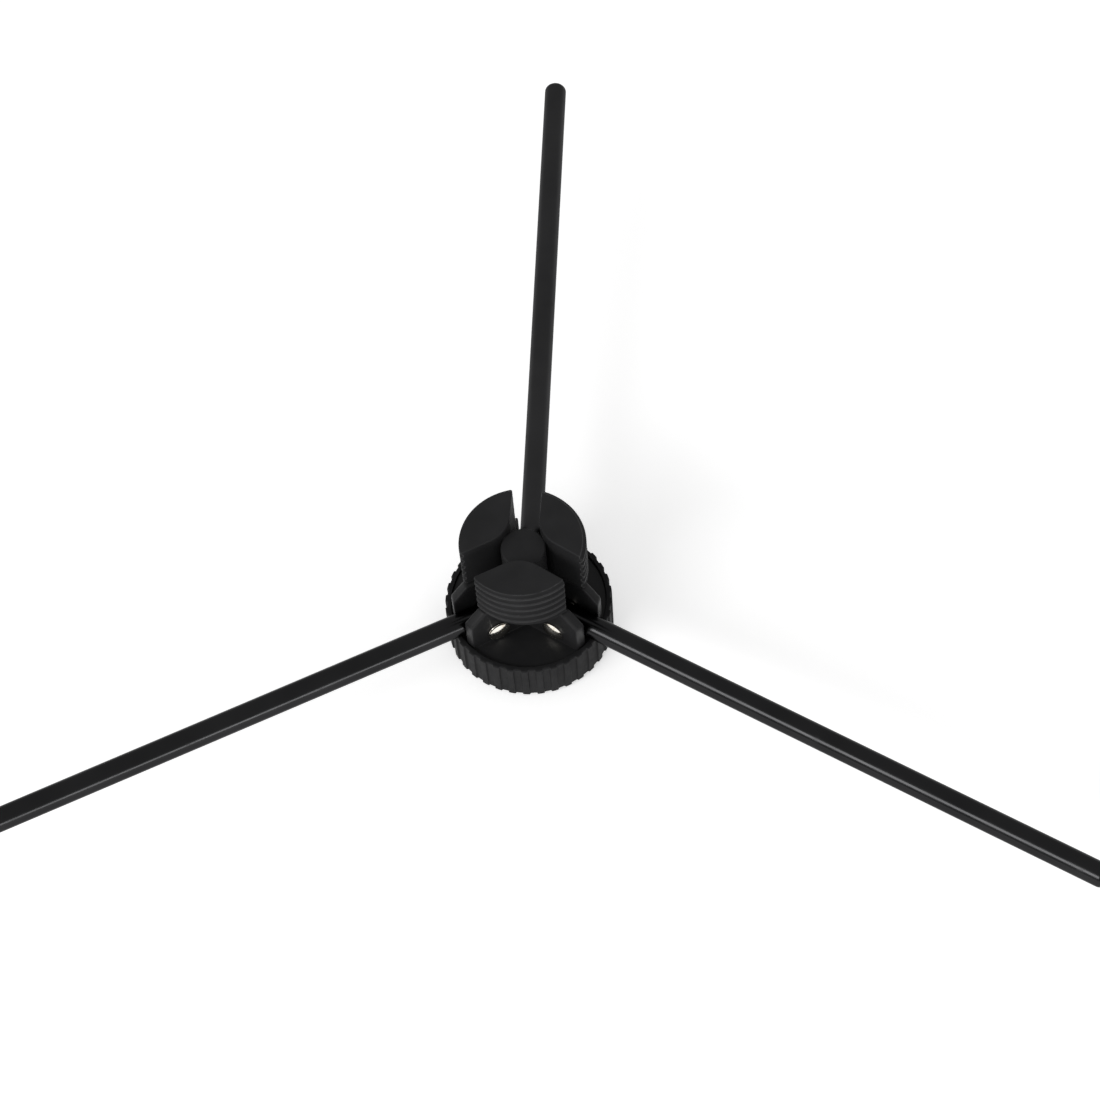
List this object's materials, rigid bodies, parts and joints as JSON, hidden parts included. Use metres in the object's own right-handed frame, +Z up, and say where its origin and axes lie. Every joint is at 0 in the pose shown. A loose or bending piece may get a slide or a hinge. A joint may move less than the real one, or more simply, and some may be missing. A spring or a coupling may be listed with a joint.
{
  "type": "folding stand base",
  "caption": "Folding tripod base of a woodwind stand: knurled foot, hinged rod legs and a slotted, threaded crown for the peg.",
  "frame": {"origin": "centre of the foot pad's underside, where the base stands on the floor", "axes": "+Z up along the thread's axis, +Y along the back leg"},
  "size_m": [0.2364, 0.2054, 0.034],
  "materials": {
    "black_plastic": "fine satin moulding",
    "black_paint": "semi-gloss paint",
    "nickel": "nickel plate",
    "zinc_steel": "zinc plate",
    "rubber": "matt"
  },
  "bodies": {
    "hub": {"foot_pad": "rubber", "knurled_collar": "black_plastic", "dished_washer": "zinc_steel", "centre_screw": "zinc_steel", "hinge_carrier": "black_plastic", "threaded_crown": "black_plastic", "pivot_pin_back": "nickel", "pin_washer_back": "nickel", "pin_retainer_back": "nickel", "pivot_pin_left": "nickel", "pin_washer_left": "nickel", "pin_retainer_left": "nickel", "pivot_pin_right": "nickel", "pin_washer_right": "nickel", "pin_retainer_right": "nickel"},
    "back_leg": {"leg_rod_back": "black_paint"},
    "left_leg": {"leg_rod_left": "black_paint"},
    "right_leg": {"leg_rod_right": "black_paint"}
  },
  "joints": [
    {"name": "back_leg_fold", "type": "hinge", "parent": "hub", "child": "back_leg", "pos_m": [0, 0.0095, 0.01275], "axis": [1, 0, 0], "range_deg": [0, 88]},
    {"name": "left_leg_fold", "type": "hinge", "parent": "hub", "child": "left_leg", "pos_m": [-0.00823, -0.00475, 0.01275], "axis": [-0.5, 0.866, 0], "range_deg": [0, 88]},
    {"name": "right_leg_fold", "type": "hinge", "parent": "hub", "child": "right_leg", "pos_m": [0.00823, -0.00475, 0.01275], "axis": [-0.5, -0.866, 0], "range_deg": [0, 88]}
  ]
}
